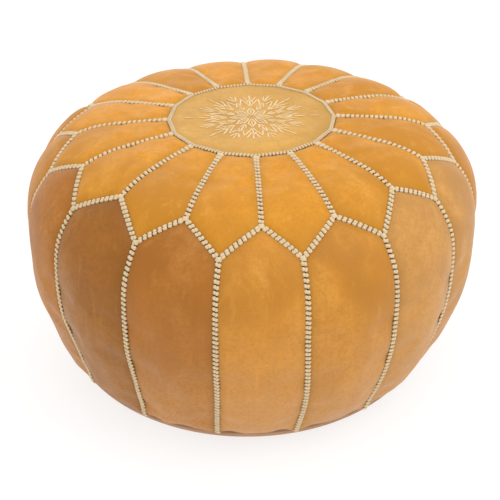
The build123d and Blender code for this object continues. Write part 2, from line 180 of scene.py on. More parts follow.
def settled(points):
    """Points of the even shape moved to where years of sitting have left them. The base stays."""
    points = np.asarray(points, float).reshape(-1, 3).copy()
    x, y, z = points.T
    radius = np.hypot(x, y)
    angle = np.arctan2(y, x)
    rise = smooth_step(0.0, 0.12, z)
    top = smooth_step(0.2, 0.3, z)
    outer = smooth_step(0.06, 0.20, radius)
    turns = ((angle - FIRST_SEAM) / HALF) % (2 * PANELS)
    stray = np.radians(np.interp(turns, range(2 * PANELS + 1), STRAY + STRAY[:1]))
    angle = angle + stray * smooth_step(0.12, 0.20, radius) * smooth_step(0.03, 0.20, z)
    beside = np.where(turns % 2 < 1, HALF * (turns % 2), HALF * (2 - turns % 2))
    ring = smooth_step(0.05, 0.095, radius) * (1 - smooth_step(0.105, 0.16, radius)) * top
    straight = math.cos(HALF) / np.cos(HALF - beside)
    lobes = 0.0014 * np.sin(3 * angle + 0.6) + 0.0010 * np.sin(5 * angle + 2.0)
    slope = np.degrees(np.arctan2(z - WAIST, np.maximum(radius - SHOULDER_CENTRE, 0.0001)))
    full = 0.0050 * smooth_step(2.0, 28.0, slope) * (1 - 0.7 * smooth_step(45.0, 85.0, slope))
    full *= 1 - 0.5 * smooth_step(0.0, 0.2, y)
    right = smooth_step(0.2, 1.0, np.cos(angle)) * smooth_step(0.09, 0.15, z)
    swell = lobes * rise * outer - 0.0035 * right * outer
    left = smooth_step(0.0, 0.9, np.cos(angle - math.pi - 0.4))
    swell -= 0.0045 * left * smooth_step(0.022, 0.05, z) * (1 - smooth_step(0.08, 0.15, z))
    foot = smooth_step(0.0, 0.9, np.cos(angle)) * smooth_step(0.022, 0.05, z)
    swell -= 0.0040 * foot * (1 - smooth_step(0.09, 0.15, z))
    far_left = smooth_step(0.5, 1.0, np.cos(angle - math.radians(145.0)))
    swell -= 0.0040 * far_left * smooth_step(0.12, 0.20, z) * outer
    swell += ring * (radius * (straight - 1) - 0.0020)
    near_hem = 1 - smooth_step(0.0, 0.026, z - HEM)
    near_hem *= smooth_step(0.2, 0.215, radius)
    swell += near_hem * (0.0004 + 0.0006 * np.sin(23 * angle) + 0.0005 * np.sin(37 * angle + 1.0))
    hollow = -0.0050 * (1 - smooth_step(0.02, 0.12, radius)) * top
    wave = 0.0014 * np.sin(2 * angle + 1.1) * top * outer
    back = 0.0026 * smooth_step(-0.10, 0.20, y) * (1 - 0.35 * smooth_step(0.03, 0.2, x))
    lean = 0.0018 * np.exp(-(((y + 0.10) / 0.055) ** 2)) - back - 0.0015 * smooth_step(-0.17, -0.21, y)
    hem = 0.0032 + 0.0012 * np.sin(29 * angle + 0.5) + 0.0009 * np.sin(47 * angle)
    wide = radius + swell + full * np.cos(np.radians(slope))
    points[:, 0] = wide * np.cos(angle) + TILT * rise
    points[:, 1] = wide * np.sin(angle)
    points[:, 2] += hollow + wave + lean * smooth_step(0.15, 0.29, z) + full * np.sin(np.radians(slope))
    points[:, 2] += hem * near_hem
    return points


def metres(name, description, default):
    """A length that a maker would change."""
    return bpy.props.FloatProperty(name=name, description=description, default=default, unit="LENGTH")


def dye(name, description, default):
    """A colour that a maker would change."""
    return bpy.props.FloatVectorProperty(
        name=name, description=description, default=default, size=3, subtype="COLOR"
    )


class PoufSizes(bpy.types.PropertyGroup):
    """Sizes that a maker would change."""

    puff: metres("Puff", "How far the middle of a panel stands out", 0.0050)
    leather: metres("Leather", "Thickness of the leather", 0.0016)
    bead_pitch: metres("Stitch pitch", "From one braided stitch to the next", 0.0058)
    braid_width: metres("Braid width", "Width of the braided stitching", 0.0068)
    braid_height: metres("Braid height", "Height of the braided stitching", 0.0030)
    star: metres("Star", "Radius of the embroidered star", 0.0825)
    seed: bpy.props.IntProperty(name="Seed", description="Seed for small differences", default=7)


class PoufColours(bpy.types.PropertyGroup):
    """Colours that a maker would change."""

    amber: dye("Amber", "Leather of the petals", (0.72, 0.295, 0.016))
    honey: dye("Honey", "Lighter side leather", (0.64, 0.262, 0.026))
    tan: dye("Tan", "Browner side leather", (0.46, 0.165, 0.018))
    straw: dye("Straw", "Leather of the medallion", (0.69, 0.365, 0.066))
    russet: dye("Russet", "Leather of the base", (0.56, 0.27, 0.115))
    cream: dye("Cream", "Thread of the braids", (0.753, 0.581, 0.345))
    gold: dye("Pale gold", "Thread of the star", (0.92, 0.675, 0.34))


def sizes():
    """The sizes set in the sidebar."""
    return bpy.context.scene.pouf_sizes


def colours():
    """The colours set in the sidebar."""
    return bpy.context.scene.pouf_colours


# Materials


class Recipe:
    """A material in the making: its nodes, and short ways to add and join them."""

    def __init__(self, name):
        self.material = bpy.data.materials.new(name)
        self.material.use_nodes = True
        self.tree = self.material.node_tree
        self.shader = self.tree.nodes["Principled BSDF"]
        self.place = self.add("ShaderNodeTexCoord").outputs["Object"]

    def add(self, kind, **settings):
        """A new node with its settings."""
        node = self.tree.nodes.new(kind)
        for key, value in settings.items():
            setattr(node, key, value)
        return node

    def join(self, source, target):
        """A link from one socket to another."""
        self.tree.links.new(source, target)

    def spread(self, stretch=(1, 1, 1), turn=(0, 0, 0)):
        """Object coordinates, stretched and turned."""
        node = self.add("ShaderNodeMapping")
        node.inputs["Scale"].default_value = stretch
        node.inputs["Rotation"].default_value = turn
        self.join(self.place, node.inputs["Vector"])
        return node.outputs["Vector"]

    def cloud(self, scale, detail=3.0, rough=0.55, warp=0.0, vector=None):
        """Cloudy noise at a number of clouds a metre."""
        node = self.add("ShaderNodeTexNoise")
        node.inputs["Scale"].default_value = scale
        node.inputs["Detail"].default_value = detail
        node.inputs["Roughness"].default_value = rough
        node.inputs["Distortion"].default_value = warp
        self.join(vector or self.place, node.inputs["Vector"])
        return node.outputs["Fac"]

    def limits(self, value, low, high, to_low=0.0, to_high=1.0):
        """A value taken from one range to another and held there."""
        node = self.add("ShaderNodeMapRange", interpolation_type="SMOOTHSTEP")
        for name, number in (("From Min", low), ("From Max", high), ("To Min", to_low), ("To Max", to_high)):
            node.inputs[name].default_value = number
        self.join(value, node.inputs["Value"])
        return node.outputs["Result"]

    def sum(self, first, second, how="ADD"):
        """Two values put together."""
        node = self.add("ShaderNodeMath", operation=how)
        self.join(first, node.inputs[0])
        if isinstance(second, (int, float)):
            node.inputs[1].default_value = second
        else:
            self.join(second, node.inputs[1])
        return node.outputs[0]

    def blend(self, share, first, second):
        """A blend of two colours, each a socket or a plain colour."""
        node = self.add("ShaderNodeMix", data_type="RGBA")
        for source, target in ((share, node.inputs[0]), (first, node.inputs[6]), (second, node.inputs[7])):
            if isinstance(source, bpy.types.NodeSocket):
                self.join(source, target)
            elif isinstance(source, (int, float)):
                target.default_value = source
            else:
                target.default_value = (*source[:3], 1.0)
        return node.outputs[2]

    def attribute(self, name):
        """A number kept on the mesh."""
        return self.add("ShaderNodeAttribute", attribute_name=name).outputs["Fac"]

    def finish(self, colour, rough, height=None, depth=0.0002, **plain):
        """Joins the colour, roughness and relief, and sets the shader's plain values."""
        self.join(colour, self.shader.inputs["Base Color"])
        if isinstance(rough, (int, float)):
            self.shader.inputs["Roughness"].default_value = rough
        else:
            self.join(rough, self.shader.inputs["Roughness"])
        if height is not None:
            bump = self.add("ShaderNodeBump")
            bump.inputs["Strength"].default_value = 1.0
            bump.inputs["Distance"].default_value = depth
            self.join(height, bump.inputs["Height"])
            self.join(bump.outputs["Normal"], self.shader.inputs["Normal"])
        for name, value in plain.items():
            self.shader.inputs[name.replace("_", " ")].default_value = value
        return self.material


def tinted(colour, factor, warmth=1.0):
    """A colour made lighter or darker, and redder or yellower."""
    red, green, blue = (part * factor for part in colour)
    return tuple(min(1.0, part) for part in (red * warmth, green, blue))


def full_grain(name, tone, shade=1.0, blush=0.0, seed=0.0, painted_hem_shadow=0.0):
    """Vegetable-tanned leather: patchy tone, scratches, fine grain, faint creases, and painted shade towards
    the seams.

    Blush is how much paler it is towards the foot; the last number is how dark the painted shadow is just
    under the hem.
    """
    recipe = Recipe(name)
    turn = (seed * 1.3, seed * 0.7, seed * 2.1)
    patches = recipe.cloud(9.0, 2.0, 0.5, 0.4, recipe.spread(turn=turn))
    streaks = recipe.cloud(14.0, 4.0, 0.6, 0.6, recipe.spread((1.0, 1.0, 0.35), turn))
    mottle = recipe.cloud(70.0, 5.0, 0.7, 0.3)
    specks = recipe.cloud(260.0, 3.0, 0.75)
    marks = recipe.cloud(60.0, 3.0, 0.65, 0.1, recipe.spread((1.0, 1.0, 0.09), (0.15, 0.1, seed)))
    pores = recipe.cloud(900.0, 2.0, 0.6)
    deep = tinted(tone, 0.73 * shade, 1.02)
    pale = tuple(0.86 * part * shade + 0.14 * other for part, other in zip(tone, (0.86, 0.54, 0.18)))
    colour = recipe.blend(recipe.limits(patches, 0.35, 0.68), tinted(tone, shade), deep)
    colour = recipe.blend(recipe.limits(streaks, 0.46, 0.70, 0.0, 0.85), colour, pale)
    colour = recipe.blend(recipe.limits(mottle, 0.40, 0.66, 0.0, 0.45), colour, deep)
    height = recipe.add("ShaderNodeSeparateXYZ")
    recipe.join(recipe.place, height.inputs[0])
    low = recipe.limits(height.outputs["Z"], 0.04, 0.25, blush, 0.0)
    colour = recipe.blend(low, colour, tinted((0.56, 0.275, 0.090), shade))
    colour = recipe.blend(recipe.limits(marks, 0.56, 0.70, 0.0, 0.45), colour, pale)
    colour = recipe.blend(recipe.limits(marks, 0.40, 0.28, 0.0, 0.40), colour, deep)
    colour = recipe.blend(recipe.limits(specks, 0.44, 0.64, 0.0, 0.45), colour, deep)
    # Painted shadow: a dark band on the base just under the hem, where the hem overhangs it.
    if painted_hem_shadow > 0:
        shadow_under_hem = recipe.limits(height.outputs["Z"], HEM - 0.002, HEM + 0.003, 0.0, painted_hem_shadow)
        colour = recipe.blend(shadow_under_hem, colour, (0.06, 0.028, 0.014))
    # Painted shade: the leather is darkened towards its seams, where it dips into the seam valleys.
    seam_shade = recipe.limits(recipe.attribute("seam"), 0.0020, 0.014, 0.45, 0.0)
    colour = recipe.blend(seam_shade, colour, tinted(tone, 0.66 * shade, 0.96))
    wear = recipe.cloud(26.0, 5.0, 0.65)
    rough = recipe.limits(wear, 0.3, 0.7, 0.36, 0.50)
    grain = recipe.add("ShaderNodeTexVoronoi", feature="DISTANCE_TO_EDGE")
    grain.inputs["Scale"].default_value = 620.0
    recipe.join(recipe.place, grain.inputs["Vector"])
    cells = recipe.limits(grain.outputs["Distance"], 0.0, 0.22, 0.0, 0.30)
    creases = recipe.add("ShaderNodeTexNoise", noise_type="RIDGED_MULTIFRACTAL")
    creases.inputs["Scale"].default_value = 16.0
    creases.inputs["Detail"].default_value = 3.0
    recipe.join(recipe.spread((1.0, 1.0, 0.5), turn), creases.inputs["Vector"])
    folds = recipe.limits(creases.outputs["Fac"], 0.9, 1.6, 0.0, -1.2)
    height = recipe.sum(recipe.sum(cells, folds), recipe.sum(pores, mottle))
    return recipe.finish(colour, rough, height, 0.00030, Specular_IOR_Level=0.22)


def twisted_thread(name, tone, gap_shade, sheen=0.25):
    """Cotton or silk thread: fine fibres, and painted shade where it dives into the leather."""
    recipe = Recipe(name)
    fibres = recipe.cloud(1500.0, 3.0, 0.6)
    soiling = recipe.cloud(22.0, 3.0, 0.6)
    colour = recipe.blend(recipe.limits(soiling, 0.4, 0.7, 0.0, 0.45), tone, tinted(tone, 0.86))
    colour = recipe.blend(recipe.limits(fibres, 0.35, 0.7, 0.0, 0.35), colour, tinted(tone, 0.72))
    # Painted shade: each stitch darkens towards the last colour low down, where it meets the leather.
    colour = recipe.blend(recipe.limits(recipe.attribute("lift"), 0.05, 0.60, 0.80, 0.0), colour, gap_shade)
    return recipe.finish(colour, 0.72, fibres, 0.0004, Sheen_Weight=sheen, Sheen_Roughness=0.5)


def woven_tape(name, tone):
    """The zip's tape: a close ribbed weave."""
    recipe = Recipe(name)
    heights = []
    for stretch in ((1.0, 0.0, 0.0), (0.0, 1.0, 0.0)):
        ribs = recipe.add("ShaderNodeTexWave", wave_type="BANDS", bands_direction="DIAGONAL")
        ribs.inputs["Scale"].default_value = 420.0
        recipe.join(recipe.spread(stretch), ribs.inputs["Vector"])
        heights.append(ribs.outputs["Fac"])
    weave = recipe.sum(heights[0], heights[1], "MULTIPLY")
    # Painted shade: the weave's hollows are darker, following its relief.
    colour = recipe.blend(weave, tinted(tone, 0.6), tone)
    return recipe.finish(colour, 0.85, weave, 0.0003, Sheen_Weight=0.3)


def worn_brass(name):
    """Brass that has been handled: brighter scratches on a dull ground."""
    recipe = Recipe(name)
    tarnish = recipe.cloud(160.0, 4.0, 0.6)
    scratches = recipe.cloud(900.0, 2.0, 0.5, 0.0, recipe.spread((0.1, 1.0, 1.0)))
    colour = recipe.blend(recipe.limits(tarnish, 0.4, 0.65), (0.62, 0.43, 0.16), (0.36, 0.24, 0.09))
    rough = recipe.limits(scratches, 0.3, 0.7, 0.26, 0.46)
    return recipe.finish(colour, rough, scratches, 0.00004, Metallic=1.0)


def plain_weave(name, tone, scale):
    """Loosely woven cotton or felted fibre."""
    recipe = Recipe(name)
    fibres = recipe.cloud(scale, 6.0, 0.7)
    lumps = recipe.cloud(scale / 20, 3.0, 0.5)
    colour = recipe.blend(recipe.limits(lumps, 0.35, 0.7), tone, tinted(tone, 0.86))
    return recipe.finish(colour, 0.9, fibres, 0.0006, Sheen_Weight=0.3)


# Mesh helpers


def clear_selection():
    """Nothing selected, in object mode."""
    if bpy.context.mode != "OBJECT":
        bpy.ops.object.mode_set(mode="OBJECT")
    bpy.ops.object.select_all(action="DESELECT")


def make_active(obj):
    """The only selected object."""
    clear_selection()
    obj.select_set(True)
    bpy.context.view_layer.objects.active = obj


def apply_modifiers(obj):
    """Every modifier applied, in order."""
    make_active(obj)
    for modifier in list(obj.modifiers):
        bpy.ops.object.modifier_apply(modifier=modifier.name)


def mesh_object(name, points, faces, material=None, lines=()):
    """A new object from points, faces and loose lines, at the origin."""
    mesh = bpy.data.meshes.new(name)
    mesh.from_pydata([tuple(point) for point in points], list(lines), [tuple(face) for face in faces])
    mesh.validate()
    obj = bpy.data.objects.new(name, mesh)
    bpy.context.scene.collection.objects.link(obj)
    if material is not None:
        mesh.materials.append(material)
    return obj


def outward(obj, merge=True):
    """Doubles merged, unless told not to, and faces turned outwards."""
    make_active(obj)
    bpy.ops.object.mode_set(mode="EDIT")
    bpy.ops.mesh.select_all(action="SELECT")
    if merge:
        bpy.ops.mesh.remove_doubles(threshold=0.00002)
    bpy.ops.mesh.normals_make_consistent(inside=False)
    bpy.ops.object.mode_set(mode="OBJECT")


def smooth(obj):
    """Smooth shading all over."""
    obj.data.polygons.foreach_set("use_smooth", [True] * len(obj.data.polygons))
    obj.data.update()


def thicken(face):
    """A leather face given its thickness, then made finer and smooth."""
    thick = face.modifiers.new("thickness", "SOLIDIFY")
    thick.thickness = sizes().leather
    thick.offset = -1.0
    finer = face.modifiers.new("finer", "SUBSURF")
    finer.levels = finer.render_levels = 1
    apply_modifiers(face)
    smooth(face)


def spun_object(name, outline, steps):
    """A round piece spun about the pouf's axis from the half outline of its face."""
    lines = [(index, index + 1) for index in range(len(outline) - 1)]
    obj = mesh_object(name, [(radius, 0.0, height) for radius, height in outline], [], lines=lines)
    make_active(obj)
    bpy.ops.object.mode_set(mode="EDIT")
    bpy.ops.mesh.select_all(action="SELECT")
    bpy.ops.mesh.spin(steps=steps, angle=2 * math.pi, center=(0, 0, 0), axis=(0, 0, 1))
    bpy.ops.object.mode_set(mode="OBJECT")
    outward(obj)
    top = max(obj.data.polygons, key=lambda face: face.center.z)
    if top.normal.z < 0:
        obj.data.flip_normals()
    return obj


def medallion_level(radius):
    """The height of the medallion's face at a radius, before it settles."""
    radius = np.asarray(radius, float)
    near_edge = np.maximum(MEDALLION_EDGE - radius, 0.0)
    puff = sizes().puff * 0.55 * crowned(near_edge)
    return TOP - CROWN + np.sqrt(CROWN**2 - radius**2) + puff


def keep(obj, body, node):
    """The finished piece rides on its body and stands for its CAD node, which is hidden."""
    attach(obj, body)
    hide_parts(*([node] if isinstance(node, str) else node))
    return obj


def point_attribute(obj, name, values):
    """A number for each point, for the materials."""
    layer = obj.data.attributes.new(name, "FLOAT", "POINT")
    layer.data.foreach_set("value", np.asarray(values, np.float32))


def read_points(mesh):
    """A mesh's points as an array."""
    points = np.zeros(len(mesh.vertices) * 3)
    mesh.vertices.foreach_get("co", points)
    return points.reshape(-1, 3)


# The cover's leather

COLUMNS = 20
PETAL_ROWS = 22
SIDE_ROWS = 40
AIR_STEPS = 18  # of the cloth simulation
MOST_AIR = 0.006  # how far the air may move the leather
# How a panel's edge rolls over, and the skirt under it, at a seam and at the open hem
EDGE_IN, EDGE_DROP, SKIRT_IN, SKIRT_DROP, HEM_SKIRT_DROP = 0.0006, 0.0012, 0.0002, 0.0030, 0.0006
petal_start = run_at_radius(MEDALLION) + SEAM_ROOM
cover_points = {}


def panel_runs(kind, share):
    """Where a panel's column begins and ends along the meridian, at a share of its half width."""
    if kind == "petal":
        return petal_start, zigzag_run(HALF * (1 - abs(share)))
    return zigzag_run(HALF * abs(share)), MERIDIAN_LENGTH


def panel_grid(kind):
    """The rows and columns of an even panel centred on angle 0: its runs along the meridian and angles."""
    rows = PETAL_ROWS if kind == "petal" else SIDE_ROWS
    runs = np.zeros((rows + 1, COLUMNS + 1))
    angles = np.zeros_like(runs)
    for column in range(COLUMNS + 1):
        share = 2 * column / COLUMNS - 1
        start, end = panel_runs(kind, share)
        runs[:, column] = np.linspace(start, end, rows + 1)
        angles[:, column] = share * HALF
    return runs, angles


def grid_faces(rows, columns):
    """Quads of a grid whose points run along its rows."""
    wide = columns + 1
    return [
        (corner, corner + 1, corner + wide + 1, corner + wide)
        for row in range(rows)
        for corner in range(row * wide, row * wide + columns)
    ]


def seam_distances(points, rows, hem_open):
    """How far each point of a panel's grid is from the panel's seams."""
    grid = points.reshape(rows + 1, COLUMNS + 1, 3)
    edges = [grid[:, 0], grid[:, -1], grid[0]]
    if not hem_open:
        edges.append(grid[-1])
    edge = np.concatenate(edges)
    return np.linalg.norm(points[:, None] - edge[None], axis=2).min(1)


def build_cover():
    """Blows up the whole cover as one cloth held at its seams, and keeps each panel's points."""
    store = []
    faces = []
    pins = []
    puffs = []
    count = 0
    rng = random.Random(sizes().seed)
    for kind, offset in (("petal", HALF), ("side", 0.0)):
        runs, angles = panel_grid(kind)
        rows = runs.shape[0] - 1
        even = [on_cover(run, angle) for run, angle in zip(runs.ravel(), angles.ravel())]
        base, normals = (np.array(part) for part in zip(*even))
        away = seam_distances(base, rows, kind == "side")
        lift = crowned(away) * smooth_step(0.0, 0.045, base[:, 2] - HEM)
        for index in range(PANELS):
            turn = FIRST_SEAM + offset + index * 2 * HALF
            spin = np.array(Matrix.Rotation(turn, 3, "Z"))
            fullness = sizes().puff * rng.uniform(0.75, 1.2)
            points = (base + normals * (lift * fullness)[:, None]) @ spin.T
            store.append((kind, index, rows, count, len(points), away))
            faces += [tuple(point + count for point in face) for face in grid_faces(rows, COLUMNS)]
            pins.append(away < SEAM_ROOM)
            puffs.append(points)
            count += len(points)
    points = np.concatenate(puffs)
    pinned = np.concatenate(pins)
    pinned |= points[:, 2] < HEM + 0.002
    points = blown_up(points, faces, pinned)
    points = settled(points)
    for kind, index, rows, start, length, away in store:
        cover_points[kind, index] = (points[start : start + length], rows, away)


def blown_up(points, faces, pinned):
    """The cover after a cloth simulation under pressure, with its seams held."""
    cloth = mesh_object("blown_cover", points, faces)
    even = points.copy()
    group = cloth.vertex_groups.new(name="seams")
    group.add([int(index) for index in np.nonzero(pinned)[0]], 1.0, "REPLACE")
    make_active(cloth)
    modifier = cloth.modifiers.new("air", "CLOTH")
    settings = modifier.settings
    settings.quality = 6
    settings.mass = 0.4
    settings.tension_stiffness = 25
    settings.compression_stiffness = 25
    settings.shear_stiffness = 8
    settings.bending_stiffness = 6
    settings.air_damping = 6
    settings.use_pressure = True
    settings.uniform_pressure_force = 2.2
    settings.shrink_min = -0.012
    settings.vertex_group_mass = "seams"
    settings.pin_stiffness = 5.0
    settings.effector_weights.gravity = 0.0
    modifier.collision_settings.use_collision = False
    modifier.point_cache.frame_start = 1
    modifier.point_cache.frame_end = AIR_STEPS
    for step in range(1, AIR_STEPS + 1):
        bpy.context.scene.frame_set(step)
    bpy.ops.object.modifier_apply(modifier=modifier.name)
    bpy.context.scene.frame_set(1)
    blown = read_points(cloth.data)
    move = blown - even
    far = np.linalg.norm(move, axis=1)
    move *= (np.minimum(far, MOST_AIR) / np.maximum(far, 1e-9))[:, None]
    bpy.data.objects.remove(cloth)
    return even + move


def border_loop(rows):
    """The points round a panel's grid, in order."""
    wide = COLUMNS + 1
    top = list(range(wide))
    right = [row * wide + COLUMNS for row in range(1, rows + 1)]
    bottom = [rows * wide + column for column in range(COLUMNS - 1, -1, -1)]
    left = [row * wide for row in range(rows - 1, 0, -1)]
    return top + right + bottom + left


def make_panel(kind, index, name, material):
    """One leather panel: its crowned face, its edges rolled inwards, and its thickness."""
    points, rows, away = cover_points[kind, index]
    grid = points.reshape(rows + 1, COLUMNS + 1, 3)
    along = np.gradient(grid, axis=0)
    across = np.gradient(grid, axis=1)
    normal = np.cross(across, along)
    normal /= np.maximum(np.linalg.norm(normal, axis=2, keepdims=True), 1e-9)
    from_inside = grid[rows // 2, COLUMNS // 2] - np.array([0, 0, FILL_HEIGHT])
    if normal[rows // 2, COLUMNS // 2] @ from_inside < 0:
        normal = -normal
    normal = normal.reshape(-1, 3)
    faces = grid_faces(rows, COLUMNS)
    loop = border_loop(rows)
    middle = points.mean(0)
    body = points.copy()
    edge = np.array(loop)
    inwards = middle - points[edge]
    inwards -= (inwards * normal[edge]).sum(1)[:, None] * normal[edge]
    inwards /= np.linalg.norm(inwards, axis=1)[:, None]
    open_hem = np.array([kind == "side" and point >= rows * (COLUMNS + 1) for point in loop])
    body[edge] += inwards * EDGE_IN - normal[edge] * np.where(open_hem, 0.0, EDGE_DROP)[:, None]
    drop = np.where(open_hem, HEM_SKIRT_DROP, SKIRT_DROP)[:, None]
    skirt = body[edge] - normal[edge] * drop + inwards * SKIRT_IN
    count = len(body)
    size = len(loop)
    for step in range(size):
        after = (step + 1) % size
        faces.append((loop[after], loop[step], count + step, count + after))
    everything = np.concatenate([body, skirt])
    panel = mesh_object(name, everything, faces, material)
    point_attribute(panel, "seam", np.concatenate([away, np.zeros(size)]))
    outward(panel, merge=False)
    front = panel.data.polygons[(rows // 2) * COLUMNS + COLUMNS // 2]
    if front.normal @ Vector(normal[(rows // 2) * (COLUMNS + 1) + COLUMNS // 2]) < 0:
        panel.data.flip_normals()
    thicken(panel)
    return panel


# Which leather each panel is cut from, anticlockwise from the front seam
PETAL_HIDES = (0, 1, 1, 0, 2, 0, 1, 2, 0, 1, 2, 0, 1, 0, 1, 0)
# Side panels 3 and 4 take the paler leather partly as painted sheen.
SIDE_HIDES = (0, 1, 2, 2, 1, 0, 1, 2, 0, 1, 2, 0, 1, 3, 4, 5)
hides = {}


def hide(family, number):
    """A hide's material, made when it is first asked for."""
    tones = colours()
    if family == "petal":
        choices = ((tones.amber, 1.0, 0.0), (tones.amber, 0.98, 0.0), (tones.amber, 1.05, 0.0))
    else:
        # Paler, less saturated leather: its own tone, and on the right-hand side panels 3 and 4 painted sheen
        # too.
        pale_honey_and_sheen = tuple(sum(parts) / 3 for parts in zip(tones.honey, tones.straw, tones.russet))
        choices = (
            (tones.honey, 1.06, 0.85),
            (tones.honey, 1.00, 0.9),
            (pale_honey_and_sheen, 1.0, 0.8),
            (tones.tan, 1.00, 0.6),
            (tones.tan, 0.78, 0.5),
            (tones.tan, 1.06, 0.5),
        )
    if (family, number) not in hides:
        tone, shade, blush = choices[number]
        material = full_grain(f"{family}_leather_{number + 1}", tuple(tone), shade, blush, number + 1.0)
        hides[family, number] = material
    return hides[family, number]


def make_panels(kind, node, cut_from):
    """Every panel of a kind, each cut from its own hide."""
    if not cover_points:
        build_cover()
    for index, number in enumerate(cut_from):
        name = f"{node}_{index + 1:02d}"
        panel = make_panel(kind, index, f"{name}_leather", hide(kind, number))
        keep(panel, "cover", name)


class PetalsOperator(bpy.types.Operator):
    """Makes the sixteen petals between the medallion and the side panels"""

    bl_idname = "pouf.petals"
    bl_label = "Petals"

    def execute(self, context):
        make_panels("petal", "petal", PETAL_HIDES)
        return {"FINISHED"}


class SidePanelsOperator(bpy.types.Operator):
    """Makes the sixteen side panels from the shoulder to the hem"""

    bl_idname = "pouf.side_panels"
    bl_label = "Side panels"

    def execute(self, context):
        make_panels("side", "side_panel", SIDE_HIDES)
        return {"FINISHED"}


class MedallionOperator(bpy.types.Operator):
    """Makes the round piece in the middle of the top"""

    bl_idname = "pouf.medallion"
    bl_label = "Medallion"

    def execute(self, context):
        edge = MEDALLION_EDGE
        inset = np.array([0.0004, 0.0010, 0.0020, 0.0040, 0.0070, 0.0110, 0.0160, 0.0220, 0.0290])
        middle = [0.0, 0.006, 0.013, 0.021, 0.030, 0.039, 0.048, 0.056, 0.064]
        radii = np.concatenate([middle, edge - inset[::-1]])
        heights = medallion_level(radii)
        outline = list(zip(radii, heights)) + [(edge, heights[-1] - 0.0010), (edge, heights[-1] - 0.0040)]
        disc = spun_object("medallion_leather", outline, 96)
        points = read_points(disc.data)
        radius = np.hypot(points[:, 0], points[:, 1])
        disc.data.vertices.foreach_set("co", settled(points).ravel())
        point_attribute(disc, "seam", np.maximum(edge - radius, 0.0))
        thicken(disc)
        disc.data.materials.append(full_grain("medallion_leather", tuple(colours().straw), 1.0, 0.0, 9.0))
        keep(disc, "cover", "medallion")
        return {"FINISHED"}


# Thread


def fat_strand(name, length, width, height, bow=0.0):
    """One strand of a braid, lying along X: an egg shape flattened and bowed along Y."""
    clear_selection()
    bpy.ops.mesh.primitive_uv_sphere_add(segments=8, ring_count=6, radius=0.5, location=(0, 0, 0))
    strand = bpy.context.object
    strand.name = strand.data.name = name
    bpy.ops.object.mode_set(mode="EDIT")
    bpy.ops.mesh.select_all(action="SELECT")
    bpy.ops.transform.rotate(value=math.pi / 2, orient_axis="Y", center_override=(0, 0, 0))
    bpy.ops.transform.resize(value=(length, width, height))
    bpy.ops.object.mode_set(mode="OBJECT")
    points = read_points(strand.data)
    share = np.clip(points[:, 0] / (length / 2), -1, 1)
    fatter = 1 + 0.35 * share**2 * (1 - share**2) * 2
    points[:, 1] = points[:, 1] * fatter + bow * (1 - share**2)
    points[:, 2] -= 0.25 * height * share**2
    faces = [tuple(face.vertices) for face in strand.data.polygons]
    bpy.data.objects.remove(strand)
    return points, faces


def path_frames(path, normals, pitch, start=0.0, end=0.0):
    """Even places along a path: position, the way along it, the way out of the leather and the way across."""
    path = np.asarray(path)
    steps = np.linalg.norm(np.diff(path, axis=0), axis=1)
    runs = np.concatenate([[0], np.cumsum(steps)])

    def at(place, values):
        return np.array([np.interp(place, runs, values[:, axis]) for axis in range(3)])

    usable = runs[-1] - start - end
    count = max(1, round(usable / pitch))
    places = start + (np.arange(count) + 0.5) * usable / count
    found = []
    for place in places:
        along = at(place + 0.001, path) - at(place - 0.001, path)
        along /= np.linalg.norm(along)
        out = at(place, normals)
        out -= (out @ along) * along
        out /= np.linalg.norm(out)
        found.append((at(place, path), along, out, np.cross(out, along), usable / count))
    return found


def joined(name, stitches, material, settle=False):
    """One piece made of many stitches, each with its points, its faces and its points' lifts."""
    faces = []
    count = 0
    for points, stitch_faces, _ in stitches:
        faces += [tuple(point + count for point in face) for face in stitch_faces]
        count += len(points)
    points = np.concatenate([stitch[0] for stitch in stitches])
    piece = mesh_object(name, settled(points) if settle else points, faces, material)
    point_attribute(piece, "lift", np.clip(np.concatenate([stitch[2] for stitch in stitches]), 0, 1))
    smooth(piece)
    return piece


def lay_strands(name, places, material, shapes, rng, flare=0.0):
    """A braid: at each place, each strand shape with its shift along, turn and lift. It may start fatter."""
    stitches = []
    for number, (position, along, out, across, pitch) in enumerate(places):
        for (strand, strand_faces), shift_along, shift_across, turn, lift in shapes:
            angle = turn + rng.uniform(-0.12, 0.12)
            grow = rng.uniform(0.93, 1.07) * (1 + flare * math.exp(-number))
            cos, sin = math.cos(angle), math.sin(angle)
            local = strand * grow
            x = local[:, 0] * cos - local[:, 1] * sin + shift_across
            y = local[:, 0] * sin + local[:, 1] * cos + shift_along * pitch
            z = local[:, 2] + lift + rng.uniform(-0.0001, 0.0001)
            points = position + np.outer(x, across) + np.outer(y, along) + np.outer(z, out)
            stitches.append((points, strand_faces, (z + 0.0004) / sizes().braid_height))
    return joined(name, stitches, material)


def seam_path(runs, angles):
    """A seam's line on the settled cover, with the way out of the leather along it."""
    even = [on_cover(run, angle) for run, angle in zip(runs, angles)]
    points = settled([point for point, _ in even])
    tips = settled([point + normal * 0.01 for point, normal in even])
    normals = tips - points
    return points, normals / np.linalg.norm(normals, axis=1)[:, None]


threads = {}


def thread(name):
    """A thread's material, made when it is first asked for."""
    if name not in threads:
        tones = colours()
        # Each thread's last colour is its painted shade low down on its stitches.
        if name == "cream":
            threads[name] = twisted_thread("cream_braid_thread", tuple(tones.cream), (0.36, 0.25, 0.14))
        elif name == "gold":
            threads[name] = twisted_thread("pale_gold_thread", tuple(tones.gold), (0.42, 0.22, 0.08), 0.5)
        else:
            threads[name] = twisted_thread("tan_sewing_thread", (0.42, 0.26, 0.12), (0.2, 0.11, 0.05))
    return threads[name]


